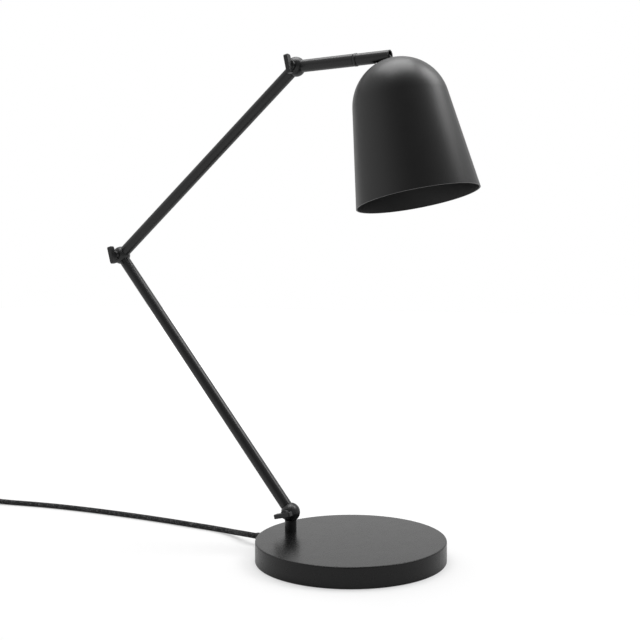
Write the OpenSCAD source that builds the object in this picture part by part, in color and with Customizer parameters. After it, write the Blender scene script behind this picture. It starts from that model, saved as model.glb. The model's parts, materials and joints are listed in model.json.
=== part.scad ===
// Desk lamp with a dome shade: round weighted base, short stem, two long arms and a short head
// arm joined by ball knuckles with wing keys, a shade that turns and tilts, and a braided cord.
// Millimetres, +Z up. The origin is the centre of the base's underside. The arms lie in the XZ
// plane, the shade is towards +X and the wing keys are towards -Y.

/* [Base] */
// Diameter of the round base
base_d = 190; // [150:1:240]
// Height of the base above the table
base_h = 20.5; // [19:0.5:30]
// Rounding of the cover's upper edge
base_edge = 1.2; // [0.6:0.1:3]
// Sheet thickness of the pressed cover
cover_wall = 1.5; // [1:0.1:2]
// Thickness of the bottom plate
plate_t = 1.2; // [0.8:0.1:1.6]
// Thickness of the soft foot pad
pad_t = 2.2; // [1.5:0.1:3]
// Distance from the base's rim in to the stem's axis
stem_inset = 25.5; // [22:0.5:60]
// Diameter of the circle of bottom screws
screw_circle_d = 130; // [90:1:136]

/* [Arms] */
// Outer diameter of the stem and of the two long arm tubes
tube_d = 12; // [10:0.5:14.5]
// Wall of the stem and of the arm tubes
tube_wall = 1; // [0.8:0.1:1.4]
// Height of the lower knuckle's centre
lower_z = 38.9; // [36:0.1:60]
// Length of the lower arm between its knuckle centres
lower_len = 343.7; // [200:0.1:450]
// Length of the upper arm between its knuckle centres
upper_len = 293; // [200:0.1:400]
// Outer diameter of the short head arm
short_d = 12.2; // [11:0.1:15]
// Wall of the short head arm
short_wall = 1.2; // [0.8:0.1:1.6]
// Direction of the lower arm above the forward horizontal
lower_angle = 129.5; // [100:0.05:150]
// Direction of the upper arm above the forward horizontal
upper_angle = 39.4; // [20:0.1:60]

/* [Knuckles] */
// Diameter of the ball knuckles
knuckle_d = 19.5; // [17:0.1:24]
// Diameter of the knuckle bolts
bolt_d = 5; // [4:0.5:5]
// Thickness of the fibre ring between two half balls
ring_t = 0.45; // [0.3:0.05:1]
// Width of a wing key's blade
key_w = 19; // [14:0.5:22]
// Thickness of a wing key's blade
key_t = 4.6; // [3:0.1:5]
// Reach of a wing key from the knuckle's centre
key_reach = 18.6; // [17.5:0.1:24]
// Turn of the lower wing key at rest
lower_key_turn = 194; // [0:1:359]
// Turn of the middle wing key at rest
middle_key_turn = 105; // [0:1:359]
// Turn of the top wing key at rest
top_key_turn = 102; // [0:1:359]

/* [Shade holder] */
// Distance from the top knuckle to the collar where the head turns
collar_at = 65.3; // [50:0.1:100]
// Width of the visible collar ring
collar_w = 3.6; // [2:0.1:8]
// Distance from the top knuckle to the open end of the holder tube
holder_end = 103.7; // [96:0.1:130]
// Outer diameter of the holder tube
holder_d = 11.6; // [11:0.1:14]
// Length of the slot in the underside of the holder tube's end
slot_len = 17; // [15:0.5:20]
// Distance from the holder tube's end back to the hinge pin
pin_back = 0.8; // [0.4:0.1:3]
// Drop of the hinge pin below the holder tube's axis
pin_drop = 1.2; // [1:0.1:1.8]
// Diameter of the hinge pin
pin_d = 2.2; // [2:0.1:2.6]
// Tilt towards the base for which the holder tube's underside is cut
tilt_in = 16; // [4:1:20]

/* [Shade] */
// Outer diameter of the shade's mouth
mouth_d = 119.2; // [100:0.1:150]
// Height of the shade from its mouth to the top of its dome
shade_h = 135.7; // [120:0.1:180]
// Radius of the spherical dome
dome_r = 46.5; // [40:0.1:56]
// Sheet thickness of the shade
shade_wall = 1.2; // [0.8:0.1:2]
// Lean of the shade at rest, its mouth away from the base
shade_lean = 11.4; // [-3:0.1:60]

/* [Lamp] */
// Diameter of the bulb's glass ball
bulb_d = 45; // [35:1:50]
// Length of the bulb from its contact to the end of its glass
bulb_len = 76; // [70:1:84]
// Diameter of the lamp holder's body
lampholder_d = 27; // [22:0.5:30]

/* [Cord] */
// Diameter of the braided cord
cord_d = 6; // [5:0.1:7]
// Height of the cord's outlet in the base
outlet_z = 9; // [8.5:0.1:11]
// Length of the strain relief outside the base
relief_len = 16; // [12:0.5:40]

/* [Hidden] */
$fn = 72;
// Running clearance, radial, of a shaft in its hole
run = 0.05;
// Clearance between curved faces of different bodies
apart = 0.3;

// Base, worked out from the rim inwards and from the table up
base_r = base_d / 2;
cover_r = base_r - cover_wall;
inner_r = cover_r - apart;
cover_lift = 0.5;
pad_r = inner_r - 4;
plate_z = pad_t;
weight_z = plate_z + plate_t;
weight_top = base_h - cover_wall - 0.1;
stem_x = base_r - stem_inset;
nut_space_r = 14;
nut_space_h = 9;
washer_t = 1.2;
nut_h = 5;
nut_across = tube_d + 5;
stem_end_z = weight_z + 2.2;
base_screw_r = 2;
base_screw_len = 9;
base_screw_angles = [0, 120, 240];
channel_w = cord_d + 2;
clamp_t = 1;
clamp_w = 24;
clamp_depth = 7;
clamp_screw_r = 1.25;
clamp_screw_y = 8.5;
clamp_head_h = 1.1;

// Arm tubes and the spigots of the half balls in them
tube_r = tube_d / 2;
bore_r = tube_r - tube_wall;
short_r = short_d / 2;
short_bore_r = short_r - short_wall;
spigot_len = 14;
knuckle_r = knuckle_d / 2;
half_gap = ring_t / 2 + 0.03;
saddle_r = max(knuckle_r, sqrt(2) * tube_r) + apart;
spigot_start = knuckle_r + 0.6;
spigot_end = spigot_start + spigot_len;
stem_bore_r = 3.5;
wire_r = 0.6;
wire_pair = 0.02;
channel_r = 1.4;
channel_y = half_gap + 0.4 + channel_r;

// Knuckle bolt, its hex head and the flats that the head and the key bear on
bolt_r = bolt_d / 2;
head_flat_y = knuckle_r - 2.55;
key_flat_y = knuckle_r - 1.35;
head_h = 2.8;
head_across = 8;
head_fit = 0.1;
pocket_in = bolt_r + 1.1;
pocket_out = knuckle_r - 3.4;
pocket_h = head_flat_y - head_h - 0.95;
ring_in = pocket_out + 0.3;
ring_out = knuckle_r - 0.25;
key_hub_r = 4.6;
key_hub_end = key_flat_y + 4.2;
key_corner_r = 1.5;
key_blade_h = 7;
key_neck_w = 8.4;
key_neck_y = key_flat_y + 2.4;
bolt_end = key_hub_end - 1.2;

// Knuckle centres in the XZ plane
lower_pivot = [-stem_x, 0, lower_z];
middle_pivot = lower_pivot + lower_len * [cos(lower_angle), 0, sin(lower_angle)];
top_pivot = middle_pivot + upper_len * [cos(upper_angle), 0, sin(upper_angle)];

// Swivel of the head, along X from the top knuckle
holder_r = holder_d / 2;
holder_bore_r = holder_r - tube_wall;
collar_end = collar_at + collar_w;
collar_r = short_r + 0.2;
bush_len = 12;
spindle_r = 3.5;
spindle_bore_r = 1.9;
spindle_plug_len = 11;
spindle_tail = 4;
clip_t = 1;
clip_r = short_bore_r - 0.5;
clip_groove_r = 3;
holder_start = collar_end + 0.2;
slot_start = holder_end - slot_len;

// Hinge between the holder tube and the shade
pin_r = pin_d / 2;
pin_at = top_pivot + [holder_end - pin_back, 0, -pin_drop];
pin_to_dome = 2.8;
pin_polar = 3.05;
cheek_r = pin_r + 1.1;
cheek_in = 1.9;
cheek_out = holder_bore_r - 1.2;
slot_y = cheek_out + 0.35;
tongue_y = 1.6;
eye_r = pin_r + 0.8;
tongue_top = holder_bore_r - 0.5;
tongue_bottom = -1.1;
tongue_slope = 6.5;
tongue_block_start = holder_start + spindle_plug_len + 0.2;
tongue_block_end = slot_start - 0.2;
fork_base_t = 1.6;
fork_base_back = 12;
stud_r = 1.5;
stud_polar = pin_polar + 10;
stud_in = 7;
nut_m3_across = 5.5;
nut_m3_h = 2.4;

// Shade outline: a cone that meets the dome's sphere without a step
mouth_r = mouth_d / 2;
dome_z = shade_h - dome_r;
tangent = acos(dome_r / norm([mouth_r, dome_z])) - atan2(dome_z, mouth_r);
pin_local = [-(dome_r + pin_to_dome) * sin(pin_polar), 0,
             dome_z + (dome_r + pin_to_dome) * cos(pin_polar)];

// Lamp holder and bulb along the shade's axis, heights above the mouth
cup_r = 17;
cup_wall = 1.5;
cup_top_t = 2;
cup_z = shade_h - shade_wall - 14;
cup_flange_h = 3;
lampholder_r = lampholder_d / 2;
lampholder_h = 36;
lampholder_z = cup_z - lampholder_h;
cap_r = 6.9;
cap_h = 22;
cap_z = lampholder_z + 1.5;
contact_r = 3;
contact_h = 1.8;
socket_r = 7.2;
socket_top = cap_z + cap_h + contact_h + 0.3;
bulb_r = bulb_d / 2;
bulb_z = cap_z + cap_h + contact_h - bulb_len;
bulb_neck_z = bulb_z + bulb_r + 18;
glass_t = 0.8;

// Strain relief: sleeve in the cover's wall with a taper outside
cord_r = cord_d / 2;
outlet_r = cord_r + 1;
relief_bore_r = cord_r + run;
relief_in = 6.4;
clamp_x = base_r - relief_in - 0.1 - clamp_depth / 2;
relief_collar_r = outlet_r + 1;
relief_collar_t = 2;
relief_tip_r = cord_r + 0.6;
relief_tip_x = base_r + relief_len;
cord_inner_x = stem_x + nut_space_r;

// Cord from the strain relief along the table to the inline switch, chosen by hand
cord_route = [
    [-111, 0, 9], [-114, 0, 9], [-119, 0.7, 8.9], [-124.5, 2.6, 8.4], [-130, 5.3, 7.6],
    [-136, 8.5, 6.7], [-143, 12, 5.6],
    [-152, 16, 4.5], [-162, 19.4, 3.7], [-173, 21.7, 3.2], [-186, 23.2, 3], [-202, 24, 3],
    [-220, 24.8, 3], [-240, 25.6, 3], [-262, 26.1, 3], [-285, 26.3, 3], [-308, 26.1, 3],
    [-331, 25.5, 3], [-354, 24.6, 3], [-376, 23.2, 3], [-398, 21.3, 3], [-419, 18.9, 3],
    [-439, 15.9, 3], [-458, 12.4, 3], [-475, 8.9, 3.1], [-490, 5.6, 3.6], [-504, 2.5, 4.6],
    [-512, 0.8, 5], [-518, -0.5, 5]
];
heading = 192.4;
switch_len = 56;
switch_w = 26;
switch_h = 17;
switch_split = 9;
switch_lead = 40;
tie_t = 1.1;
coil_pitch = 6.6;
coil_turns = 2.5;
coil_out_r = 44;
coil_in_r = coil_out_r - coil_turns * coil_pitch;
coil_z = cord_r + tie_t + 0.1;
loop_rings = 24;
route_dir = [cos(heading), sin(heading), 0];
left_dir = [-sin(heading), cos(heading), 0];
switch_start = cord_route[len(cord_route) - 1];
switch_end = switch_start + switch_len * route_dir;
coil_start = [0, 0, coil_z] + flat(switch_end + switch_lead * route_dir);
coil_entry = coil_start + cord_d * route_dir;
coil_centre = flat(coil_entry + coil_out_r * left_dir);
lead_route = [
    switch_end, switch_end + 8 * route_dir,
    flat(switch_end + 20 * route_dir) + [0, 0, (switch_end[2] + coil_z) / 2],
    coil_start - 8 * route_dir, coil_start
];
plug_len = 36;
plug_w = 34;
plug_h = 13.6;
plug_neck_len = 18;
plug_pin_r = 2;
plug_pin_len = 19;
plug_pin_gap = 19;
tail_z = plug_h / 2;
coil_total = 2 * coil_turns + 0.5;
coil_exit = coil_point(coil_total);
tail_dir = -route_dir;
tail_start = coil_exit + cord_d * tail_dir;
tail_drop = coil_exit[2] - tail_z;
tail_route = [
    tail_start, tail_start + 7 * tail_dir,
    tail_start + 20 * tail_dir - [0, 0, 0.3 * tail_drop],
    tail_start + 34 * tail_dir - [0, 0, 0.8 * tail_drop],
    tail_start + 46 * tail_dir - [0, 0, tail_drop], tail_start + 54 * tail_dir - [0, 0, tail_drop]
];
plug_start = tail_route[len(tail_route) - 1];
rocker_tilt = 8;
rocker_len = 17;
rocker_w = 9;
rocker_z = switch_h - 4.4;

function flat(p) = [p[0], p[1], 0];
function unit(v) = v / norm(v);
function smooth(s) = s * s * (3 - 2 * s);

// A point of the coil after a number of turns: in, up in half a turn, and out again
function coil_radius(turn) = turn <= coil_turns ? coil_out_r - coil_pitch * turn
    : turn <= coil_turns + 0.5
    ? coil_in_r - coil_pitch * min(turn - coil_turns, coil_turns + 0.5 - turn)
    : coil_in_r + coil_pitch * (turn - coil_turns - 0.5);
function coil_height(turn) = coil_z
    + coil_pitch * smooth(min(1, max(0, 2 * (turn - coil_turns))));
function coil_point(turn) = coil_centre + [0, 0, coil_height(turn)]
    + coil_radius(turn) * [cos(heading - 90 + 360 * turn), sin(heading - 90 + 360 * turn), 0];
coil_line = [for (i = [0:round(coil_total * loop_rings)]) coil_point(i / loop_rings)];
coil_path = concat([coil_start], coil_line, [tail_start]);
coil_gap = min([
    for (i = [0:len(coil_line) - 1])
        for (j = [i + loop_rings / 2:1:len(coil_line) - 1]) norm(coil_line[i] - coil_line[j])
]) - cord_d;
echo(coil_gap_to_itself = coil_gap);

// Length of a line of points, and the cord's whole length from the strain relief's tip
function run_of(path) = len(path) < 2 ? 0
    : [for (s = 0, i = 0; i < len(path); s = s + (i + 1 < len(path) ? norm(path[i + 1] - path[i]) : 0),
        i = i + 1) s][len(path) - 1];
echo(cord_length = run_of(cord_route) + switch_len + run_of(lead_route) + run_of(coil_path)
    + run_of(tail_route));

// Every node in the order in which the lamp is put together

// Round bars along each axis from a to b
module bar_x(r, a, b) {
    translate([a, 0, 0])
        rotate([0, 90, 0])
            cylinder(r = r, h = b - a);
}

module bar_y(r, a, b) {
    translate([0, a, 0])
        rotate([-90, 0, 0])
            cylinder(r = r, h = b - a);
}

module bar_z(r, a, b) {
    translate([0, 0, a])
        cylinder(r = r, h = b - a);
}

// Hexagonal prism along Z, measured across its flats
module hex_z(across, a, b) {
    translate([0, 0, a])
        cylinder(r = across / sqrt(3), h = b - a, $fn = 6);
}

// Tube swept along a path, its rings turned by the reference direction
module swept(path, r, sides, ref) {
    last = len(path) - 1;
    points = [
        for (i = [0:last])
            let (t = unit(path[min(i + 1, last)] - path[max(i - 1, 0)]),
                u = unit(cross(ref, t)), v = cross(t, u))
                for (k = [0:sides - 1])
                    let (a = 360 * (k + 0.5) / sides)
                        path[i] + r * (cos(a) * u + sin(a) * v)
    ];
    sides_near = [
        for (i = [0:last - 1])
            for (k = [0:sides - 1])
                let (n = (k + 1) % sides)
                    [i * sides + k, (i + 1) * sides + n, i * sides + n]
    ];
    sides_far = [
        for (i = [0:last - 1])
            for (k = [0:sides - 1])
                let (n = (k + 1) % sides)
                    [i * sides + k, (i + 1) * sides + k, (i + 1) * sides + n]
    ];
    first_cap = [for (k = [1:sides - 2]) [0, k, k + 1]];
    last_cap = [for (k = [1:sides - 2]) [last * sides, last * sides + k + 1, last * sides + k]];
    polyhedron(concat(points), concat(sides_near, sides_far, first_cap, last_cap));
}

// Places children at a pivot with +X along a direction in the XZ plane
module along(pivot, angle) {
    translate(pivot)
        rotate([0, -angle, 0])
            children();
}

// Places children in the shade's frame: origin at the mouth's centre, +Z to the dome's top
module in_shade() {
    translate(pin_at)
        rotate([0, -shade_lean, 0])
            translate(-pin_local)
                children();
}

// Places children at the middle of the inline switch, +X along the cord
module in_switch() {
    translate(flat(switch_start))
        rotate([0, 0, heading])
            translate([switch_len / 2, 0, 0])
                children();
}

// Places children at the plug, +X along its pins
module in_plug() {
    translate(flat(plug_start))
        rotate([0, 0, heading + 180])
            children();
}

module base_cover() {
    color("#1d1d1e")
        difference() {
            rotate_extrude()
                difference() {
                    union() {
                        translate([0, cover_lift])
                            square([base_r, base_h - cover_lift - base_edge]);
                        translate([0, cover_lift])
                            square([base_r - base_edge, base_h - cover_lift]);
                        translate([base_r - base_edge, base_h - base_edge])
                            circle(r = base_edge);
                    }
                    square([cover_r, base_h - cover_wall]);
                }
            translate([-stem_x, 0, 0])
                bar_z(tube_r + run, 0, base_h + 1);
            translate([0, 0, outlet_z])
                bar_x(outlet_r, -base_r - 1, -base_r + 2 * cover_wall);
        }
}

module base_weight() {
    color("#4a4a4c")
        difference() {
            bar_z(inner_r, weight_z, weight_top);
            translate([-stem_x, 0, 0]) {
                bar_z(tube_r + run, 0, base_h);
                bar_z(nut_space_r, 0, weight_z + nut_space_h);
            }
            translate([-base_r, -channel_w / 2, 0])
                cube([base_r - stem_x, channel_w, outlet_z + channel_w / 2]);
            translate([-inner_r - 1, -relief_collar_r - 0.5, 0])
                cube([relief_in + 1, 2 * relief_collar_r + 1, outlet_z + relief_collar_r + 0.5]);
            translate([-clamp_x - clamp_depth / 2, -clamp_w / 2 - 0.5, 0])
                cube([clamp_depth, clamp_w + 1, outlet_z - cord_r]);
            for (y = [-clamp_screw_y, clamp_screw_y])
                translate([-clamp_x, y, 0])
                    bar_z(clamp_screw_r + run, 0, outlet_z + 4);
            for (a = base_screw_angles)
                rotate([0, 0, a])
                    translate([screw_circle_d / 2, 0, 0])
                        bar_z(base_screw_r + run, 0, plate_z + base_screw_len + 1);
        }
}

module base_plate() {
    color("#58595b")
        difference() {
            bar_z(inner_r, plate_z, weight_z);
            for (a = base_screw_angles)
                rotate([0, 0, a])
                    translate([screw_circle_d / 2, 0, plate_z - 0.01])
                        cylinder(r1 = 2 * base_screw_r + run, r2 = base_screw_r + run,
                            h = plate_t + 0.02);
        }
}

module base_pad() {
    color("#161616")
        bar_z(pad_r, 0, pad_t);
}

module base_screws() {
    color("#8d8f92")
        for (a = base_screw_angles)
            rotate([0, 0, a])
                translate([screw_circle_d / 2, 0, plate_z])
                    difference() {
                        union() {
                            cylinder(r1 = 2 * base_screw_r, r2 = base_screw_r, h = plate_t);
                            bar_z(base_screw_r, 0, base_screw_len);
                        }
                        for (t = [0, 90])
                            rotate([0, 0, t])
                                translate([-2, -0.4, -1])
                                    cube([4, 0.8, 1.8]);
                    }
}

module stem() {
    color("#1b1b1c")
        difference() {
            translate([-stem_x, 0, 0])
                bar_z(tube_r, stem_end_z, lower_z);
            translate([-stem_x, 0, 0]) {
                bar_z(bore_r, lower_z - spigot_end - 0.3, lower_z + 1);
                bar_z(stem_bore_r, 0, lower_z);
            }
            translate(lower_pivot)
                sphere(r = saddle_r);
        }
}

module stem_washer() {
    top = weight_z + nut_space_h;
    color("#9b9da0")
        translate([-stem_x, 0, 0])
            difference() {
                bar_z(nut_space_r - 2, top - washer_t, top);
                bar_z(tube_r + run, 0, base_h);
            }
}

module stem_nut() {
    top = weight_z + nut_space_h - washer_t;
    color("#9b9da0")
        translate([-stem_x, 0, 0])
            difference() {
                hex_z(nut_across, top - nut_h, top);
                bar_z(tube_r + run, 0, base_h);
            }
}

module strain_relief() {
    inner_face = cover_r - 0.2;
    outer_face = base_r + 0.05;
    color("#141414")
        translate([0, 0, outlet_z])
            mirror([1, 0, 0])
                difference() {
                    union() {
                        bar_x(outlet_r - run, inner_face - 1, outer_face + 1);
                        bar_x(relief_collar_r, inner_face - relief_collar_t, inner_face);
                        bar_x(outlet_r - run, base_r - relief_in, inner_face);
                        bar_x(relief_collar_r, outer_face, outer_face + relief_collar_t);
                        translate([outer_face + relief_collar_t, 0, 0])
                            rotate([0, 90, 0])
                                cylinder(r1 = outlet_r + 0.5, r2 = relief_tip_r,
                                    h = relief_tip_x - outer_face - relief_collar_t);
                    }
                    bar_x(relief_bore_r, base_r - relief_in - 1, relief_tip_x + 1);
                }
}

module cord_clamp() {
    top = outlet_z - cord_r - 0.1;
    color("#9b9da0")
        difference() {
            translate([-clamp_x - clamp_depth / 2 + 0.5, -clamp_w / 2, top - clamp_t])
                cube([clamp_depth - 1, clamp_w, clamp_t]);
            for (y = [-clamp_screw_y, clamp_screw_y])
                translate([-clamp_x, y, 0])
                    bar_z(clamp_screw_r + run, 0, base_h);
        }
}

module clamp_screws() {
    seat = outlet_z - cord_r - 0.1 - clamp_t;
    color("#8d8f92")
        for (y = [-clamp_screw_y, clamp_screw_y])
            translate([-clamp_x, y, 0])
                difference() {
                    union() {
                        bar_z(clamp_screw_r, seat, outlet_z + 3);
                        bar_z(2 * clamp_screw_r, seat - clamp_head_h, seat);
                    }
                    translate([-3, -0.35, seat - clamp_head_h - 1])
                        cube([6, 0.7, 1.6]);
                }
}

// Two insulated wires, side by side about a line along X
module wire_pair_x(a, b) {
    for (s = [-1, 1])
        translate([0, 0, s * (wire_r + wire_pair)])
            bar_x(wire_r, a, b);
}

// The cord's end in the base and its two wires up into the stem
module base_leads() {
    low = weight_z + wire_r + 0.3;
    lead_bend_z = lower_z - spigot_end - 0.75;
    color("#2a2a2b")
        translate([0, 0, outlet_z])
            bar_x(cord_r, -relief_tip_x, -cord_inner_x);
    color("#7a5138")
        for (s = [-1, 1])
            let (y = s * (wire_r + wire_pair))
                swept([
                    [-cord_inner_x, y, outlet_z], [-cord_inner_x + 1.4, y, outlet_z - 0.8],
                    [-cord_inner_x + 2.4, y, low + 2], [-cord_inner_x + 4, y, low + 0.4],
                    [-stem_x - 4, y, low],
                    [-stem_x - 1.6, y, low + 0.4], [-stem_x, y, low + 2.4],
                    [-stem_x, y + 0.6, lead_bend_z - 2.6], [-stem_x, y + channel_y, lead_bend_z],
                    [-stem_x, y + channel_y, lower_z - spigot_start - 1]
                ], wire_r, 6, [0, 1, 0]);
}

// Half of a ball knuckle with the spigot of its arm along +X; side -1 is the near half
module knuckle_half(side, arm_bore_r) {
    spigot_r = arm_bore_r - run;
    flat_y = side < 0 ? key_flat_y : head_flat_y;
    difference() {
        union() {
            intersection() {
                sphere(r = knuckle_r);
                translate([0, side * (half_gap + flat_y) / 2, 0])
                    cube([2 * knuckle_r + 1, flat_y - half_gap, 2 * knuckle_r + 1], center = true);
            }
            intersection() {
                bar_x(spigot_r, 0, spigot_start + 1);
                translate([0, side * (half_gap + knuckle_r), 0])
                    cube([4 * knuckle_r, 2 * knuckle_r, 2 * knuckle_r], center = true);
                translate([0, -side * knuckle_r, 0])
                    translate([0, side * (flat_y + knuckle_r) / 2, 0])
                        cube([4 * knuckle_r, flat_y + knuckle_r, 2 * knuckle_r], center = true);
            }
            bar_x(spigot_r, spigot_start, spigot_end);
        }
        bar_y(bolt_r + run, -knuckle_r, knuckle_r);
        difference() {
            if (side < 0)
                bar_y(pocket_out, -half_gap - pocket_h, 0);
            else
                bar_y(pocket_out, 0, half_gap + pocket_h);
            bar_y(pocket_in, -knuckle_r, knuckle_r);
        }
        translate([0, side * channel_y, 0])
            bar_x(channel_r, (pocket_in + pocket_out) / 2, spigot_end + 1);
        if (side > 0)
            translate([0, head_flat_y - head_h, 0])
                rotate([-90, 0, 0])
                    hex_z(head_across + 2 * head_fit, 0, head_h + 1);
    }
}

// Fibre ring between the two half balls, seated on the far half
module friction_ring(pivot) {
    color("#3a3632")
        translate(pivot)
            difference() {
                bar_y(ring_out, -half_gap + 0.06, half_gap);
                bar_y(ring_in, -1, 1);
            }
}

// Bolt with its hex head in the far half, its end in the wing key
module knuckle_bolt(pivot, angle) {
    color("#8d8f92")
        along(pivot, angle) {
            bar_y(bolt_r, -bolt_end, head_flat_y - head_h + 0.1);
            translate([0, head_flat_y - head_h, 0])
                rotate([-90, 0, 0])
                    hex_z(head_across, 0, head_h - 0.2);
        }
}

// Wing key: a round hub on the knuckle's flat and a flat blade across it
module wing_key(pivot, turn) {
    shoulder_y = key_reach - key_blade_h + key_corner_r;
    color("#1b1b1c")
        along(pivot, turn)
            difference() {
                union() {
                    bar_y(key_hub_r, -key_hub_end, -key_flat_y - 0.1);
                    translate([0, 0, -key_t / 2])
                        linear_extrude(key_t) {
                            translate([-key_w / 2, -key_reach])
                                rounded(key_w, key_blade_h, key_corner_r);
                            polygon([
                                [key_corner_r - key_w / 2, -shoulder_y],
                                [key_w / 2 - key_corner_r, -shoulder_y],
                                [key_neck_w / 2, -key_neck_y], [-key_neck_w / 2, -key_neck_y]
                            ]);
                        }
                }
                bar_y(bolt_r + run, -bolt_end - 0.2, 0);
            }
}

module lower_far_half() {
    color("#1b1b1c")
        along(lower_pivot, -90)
            knuckle_half(1, bore_r);
}

module lower_near_half() {
    color("#1b1b1c")
        along(lower_pivot, lower_angle)
            knuckle_half(-1, bore_r);
}

module middle_near_half() {
    color("#1b1b1c")
        along(middle_pivot, lower_angle + 180)
            knuckle_half(-1, bore_r);
}

module middle_far_half() {
    color("#1b1b1c")
        along(middle_pivot, upper_angle)
            knuckle_half(1, bore_r);
}

module top_far_half() {
    color("#1b1b1c")
        along(top_pivot, upper_angle + 180)
            knuckle_half(1, bore_r);
}

module top_near_half() {
    color("#1b1b1c")
        along(top_pivot, 0)
            knuckle_half(-1, short_bore_r);
}

// Arm tube between two knuckle centres, its ends cut to the balls
module arm_tube(pivot, angle, length) {
    color("#1d1d1e")
        along(pivot, angle)
            difference() {
                bar_x(tube_r, 0, length);
                bar_x(bore_r, -1, length + 1);
                sphere(r = saddle_r);
                translate([length, 0, 0])
                    sphere(r = saddle_r);
            }
}

// Two wires through an arm tube, on the side of its half balls' channels
module arm_lead(pivot, angle, a, b, side) {
    color("#7a5138")
        along(pivot, angle)
            translate([0, side * channel_y, 0])
                wire_pair_x(a, b);
}

module lower_tube() {
    arm_tube(lower_pivot, lower_angle, lower_len);
}

module upper_tube() {
    arm_tube(middle_pivot, upper_angle, upper_len);
}

module lower_lead() {
    arm_lead(lower_pivot, lower_angle, knuckle_r, lower_len - knuckle_r, -1);
}

module upper_lead() {
    arm_lead(middle_pivot, upper_angle, knuckle_r, upper_len - knuckle_r, 1);
}

module short_tube() {
    color("#1d1d1e")
        translate(top_pivot)
            difference() {
                bar_x(short_r, 0, collar_at);
                bar_x(short_bore_r, -1, collar_at + 1);
                sphere(r = saddle_r);
            }
}

module short_lead() {
    arm_lead(top_pivot, 0, knuckle_r, collar_at - bush_len - spindle_tail - 2, -1);
}

// Bush in the short arm's end; its flange is the collar that shows
module swivel_bush() {
    chamfer = 0.4;
    color("#202021")
        translate(top_pivot)
            difference() {
                union() {
                    bar_x(short_bore_r - run, collar_at - bush_len, collar_at + 0.5);
                    bar_x(collar_r, collar_at + chamfer, collar_end - chamfer);
                    bar_x(collar_r - chamfer, collar_at, collar_end);
                }
                bar_x(spindle_r + run, 0, collar_end + 1);
            }
}

// Spindle turning in the bush; its thick end is fixed in the holder tube
module swivel_spindle() {
    tail = collar_at - bush_len - spindle_tail;
    color("#b3914e")
        translate(top_pivot)
            difference() {
                union() {
                    bar_x(spindle_r, tail, holder_start + 1);
                    bar_x(holder_bore_r - run, holder_start, holder_start + spindle_plug_len);
                }
                bar_x(spindle_bore_r, tail - 1, holder_start + spindle_plug_len + 1);
                difference() {
                    bar_x(spindle_r + 1, collar_at - bush_len - apart - clip_t,
                        collar_at - bush_len - apart);
                    bar_x(clip_groove_r, 0, collar_end);
                }
            }
}

module spindle_clip() {
    color("#9b9da0")
        translate(top_pivot)
            difference() {
                bar_x(clip_r, collar_at - bush_len - apart - clip_t + 0.05,
                    collar_at - bush_len - apart - 0.05);
                bar_x(clip_groove_r + 0.02, 0, collar_end);
                translate([0, -1.6, -2 * clip_r])
                    cube([collar_end, 3.2, 2 * clip_r]);
            }
}

// Holder tube: its end is slotted below for the fork and cut to clear the tilting dome
module holder_tube() {
    tilt = shade_lean + pin_polar - tilt_in;
    color("#1d1d1e")
        difference() {
            translate(top_pivot)
                difference() {
                    bar_x(holder_r, holder_start, holder_end);
                    bar_x(holder_bore_r, 0, holder_end + 1);
                    translate([slot_start, -slot_y, -holder_d])
                        cube([2 * slot_len, 2 * slot_y, holder_d]);
                }
            translate(pin_at + (dome_r + pin_to_dome) * [sin(tilt), 0, -cos(tilt)])
                sphere(r = dome_r + apart + 0.1);
        }
}

module holder_lead() {
    color("#7a5138")
        translate(top_pivot)
            wire_pair_x(collar_at - bush_len - spindle_tail - 1, holder_start + spindle_plug_len);
}

// Tongue fixed in the holder tube; its eye carries the hinge pin
module hinge_tongue() {
    pin = [holder_end - pin_back, -pin_drop];
    color("#202021")
        translate(top_pivot)
            difference() {
                union() {
                    bar_x(holder_bore_r - run, tongue_block_start, tongue_block_end);
                    rotate([90, 0, 0])
                        translate([0, 0, -tongue_y])
                            linear_extrude(2 * tongue_y) {
                                polygon([
                                    [tongue_block_end - 1, tongue_bottom],
                                    [tongue_block_end - 1, tongue_top],
                                    [pin[0] - tongue_slope, tongue_top],
                                    pin + eye_r * [0.6, 0.8],
                                    pin,
                                    pin + eye_r * [-0.8, 0.6]
                                ]);
                                translate(pin)
                                    circle(r = eye_r);
                            }
                }
                translate([pin[0], 0, pin[1]])
                    bar_y(pin_r + run, -holder_r, holder_r);
                translate([0, 0, -holder_bore_r / 2])
                    bar_x(channel_r, 0, tongue_block_end + 1);
            }
}

module hinge_pin() {
    color("#9b9da0")
        translate(pin_at)
            bar_y(pin_r, -cheek_out - 0.4, cheek_out + 0.4);
}

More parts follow.
